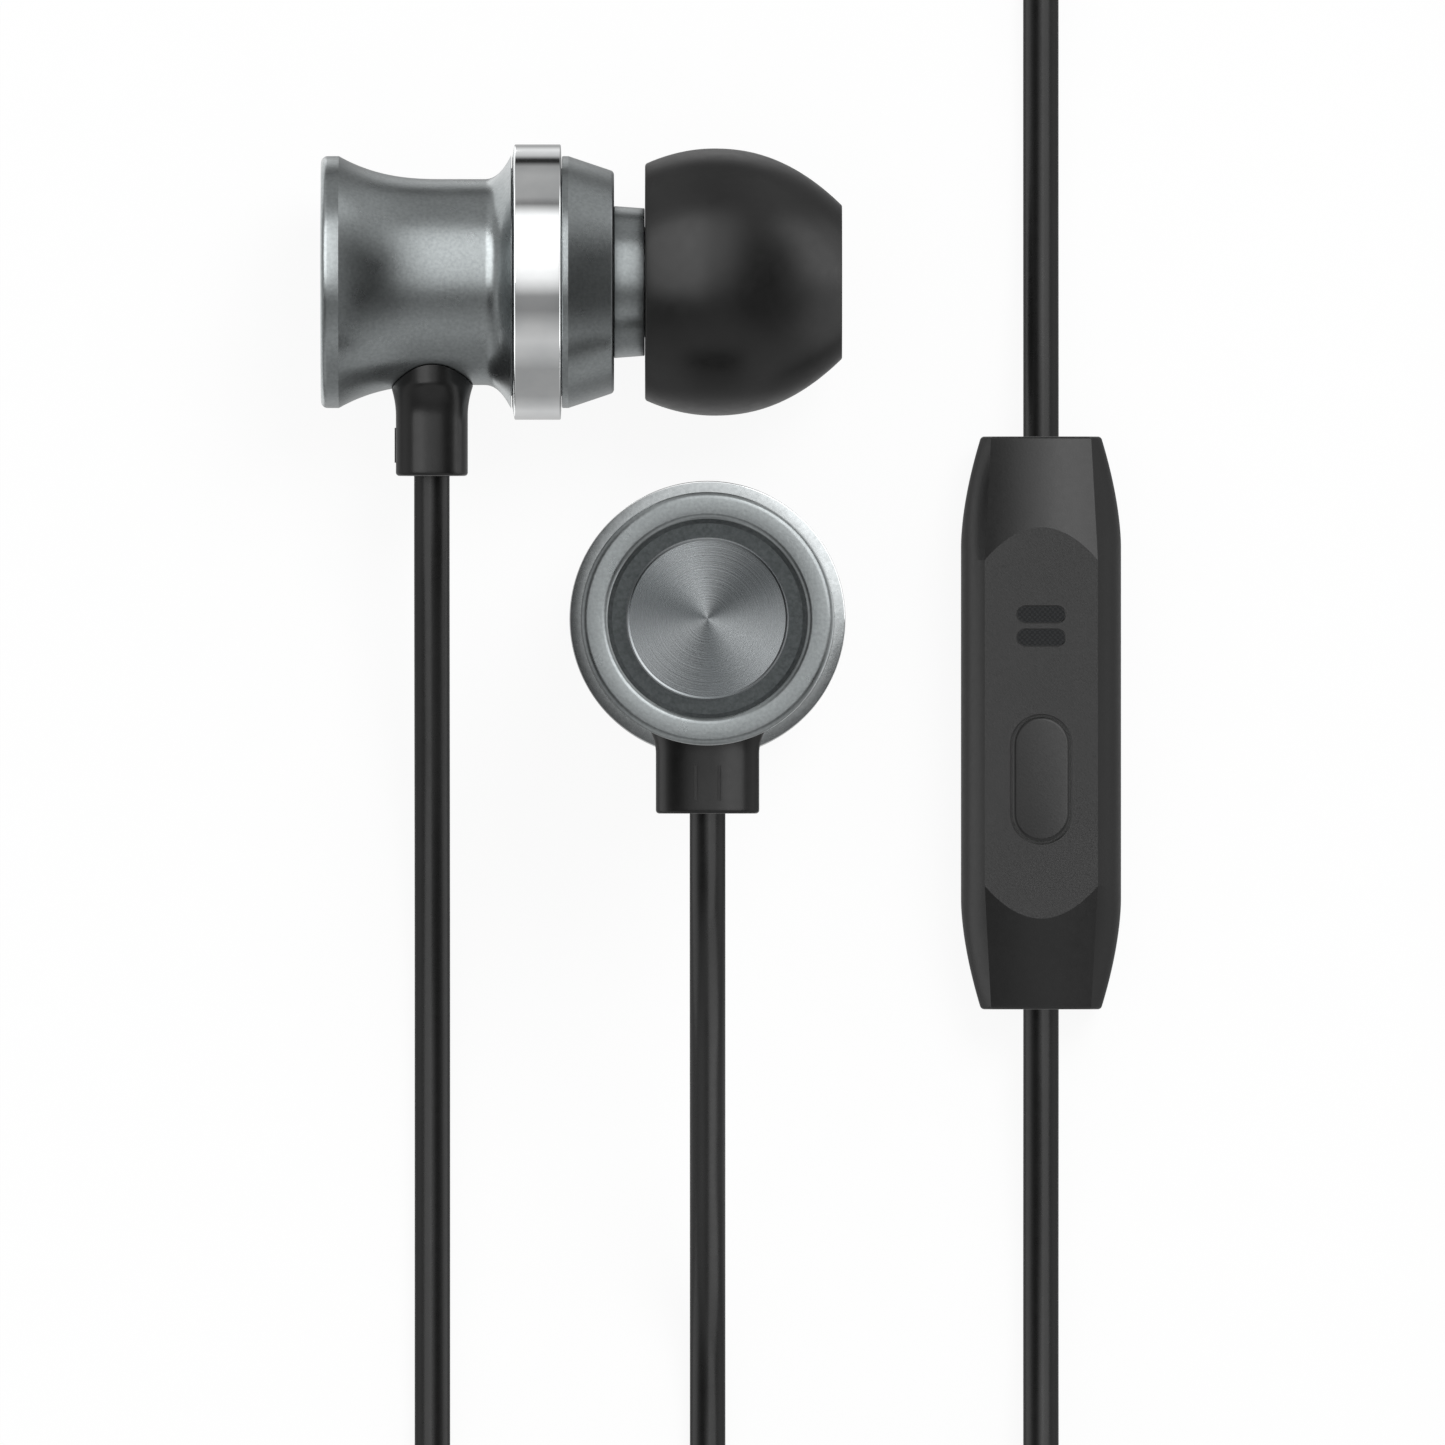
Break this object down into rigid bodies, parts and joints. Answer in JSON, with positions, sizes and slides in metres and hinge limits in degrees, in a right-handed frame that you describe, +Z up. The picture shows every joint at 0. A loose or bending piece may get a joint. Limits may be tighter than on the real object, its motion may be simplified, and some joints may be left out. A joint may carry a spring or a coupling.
{
  "type": "wired earphones",
  "caption": "Wired in-ear earphones: metal earbuds on thin cords, an in-line remote with a button, a splitter and a slim audio plug.",
  "frame": {"origin": "middle of the remote's flat back face, which lies on the table", "axes": "+Z up from the table, +Y along the remote towards its microphone end, +X to its right seen from above"},
  "size_m": [0.0565, 0.1153, 0.0245],
  "materials": {
    "gunmetal": "fine blasted dark grey anodised metal",
    "brushed_metal": "spun with fine rings",
    "chrome": "polished",
    "black_rubber": "satin",
    "silicone": "soft matt silicone",
    "cord": "smooth satin sheath",
    "black_plastic": "satin soft-touch",
    "inner_plastic": "plain",
    "gauze": "fine dark gauze",
    "steel": "plain",
    "magnet": "plated",
    "copper": "enamelled wire",
    "film": "thin film",
    "circuit": "solder mask",
    "gold": "plated and polished",
    "insulator": "plain"
  },
  "bodies": {
    "earphone_set": {"left_rear_housing": "gunmetal", "left_rear_disc": "brushed_metal", "left_bright_ring": "chrome", "left_front_cap": "gunmetal", "left_nozzle_mesh": "gauze", "left_boot": "black_rubber", "left_driver_frame": "inner_plastic", "left_driver_yoke": "steel", "left_magnet": "magnet", "left_pole_plate": "steel", "left_terminal_board": "circuit", "right_rear_housing": "gunmetal", "right_rear_disc": "brushed_metal", "right_bright_ring": "chrome", "right_front_cap": "gunmetal", "right_nozzle_mesh": "gauze", "right_boot": "black_rubber", "right_driver_frame": "inner_plastic", "right_driver_yoke": "steel", "right_magnet": "magnet", "right_pole_plate": "steel", "right_terminal_board": "circuit", "remote_front_shell": "black_plastic", "remote_back_shell": "black_plastic", "remote_circuit_board": "circuit", "remote_switch_body": "steel", "remote_microphone": "steel", "remote_microphone_gauze": "gauze", "splitter": "black_rubber", "plug_strain_relief": "black_rubber", "plug_barrel": "gunmetal", "plug_sleeve_contact": "gold", "plug_insulator_1": "insulator", "plug_ring_contact_1": "gold", "plug_insulator_2": "insulator", "plug_ring_contact_2": "gold", "plug_insulator_3": "insulator", "plug_tip_contact": "gold", "left_cord_upper": "cord", "left_cord_coil": "cord", "left_cord_lower": "cord", "right_cord_upper": "cord", "right_cord_lower": "cord", "main_cord_upper": "cord", "main_cord_coil": "cord"},
    "left_tip": {"left_ear_tip": "silicone"},
    "right_tip": {"right_ear_tip": "silicone"},
    "button": {"remote_button": "black_plastic", "remote_switch_plunger": "inner_plastic"},
    "left_cone": {"left_diaphragm": "film", "left_voice_coil": "copper"},
    "right_cone": {"right_diaphragm": "film", "right_voice_coil": "copper"}
  },
  "joints": [
    {"name": "left_tip_pull", "type": "slide", "parent": "earphone_set", "child": "left_tip", "axis": [1, 0, 0], "range_m": [0, 0.006]},
    {"name": "right_tip_pull", "type": "slide", "parent": "earphone_set", "child": "right_tip", "axis": [0, 0, -1], "range_m": [0, 0.006]},
    {"name": "button_press", "type": "slide", "parent": "earphone_set", "child": "button", "axis": [0, 0, -1], "range_m": [0, 0.00025], "stiffness_N_per_m": 2000},
    {"name": "left_cone_stroke", "type": "slide", "parent": "earphone_set", "child": "left_cone", "axis": [1, 0, 0], "range_m": [-0.0001, 0.0001], "stiffness_N_per_m": 400},
    {"name": "right_cone_stroke", "type": "slide", "parent": "earphone_set", "child": "right_cone", "axis": [0, 0, -1], "range_m": [-0.0001, 0.0001], "stiffness_N_per_m": 400}
  ]
}
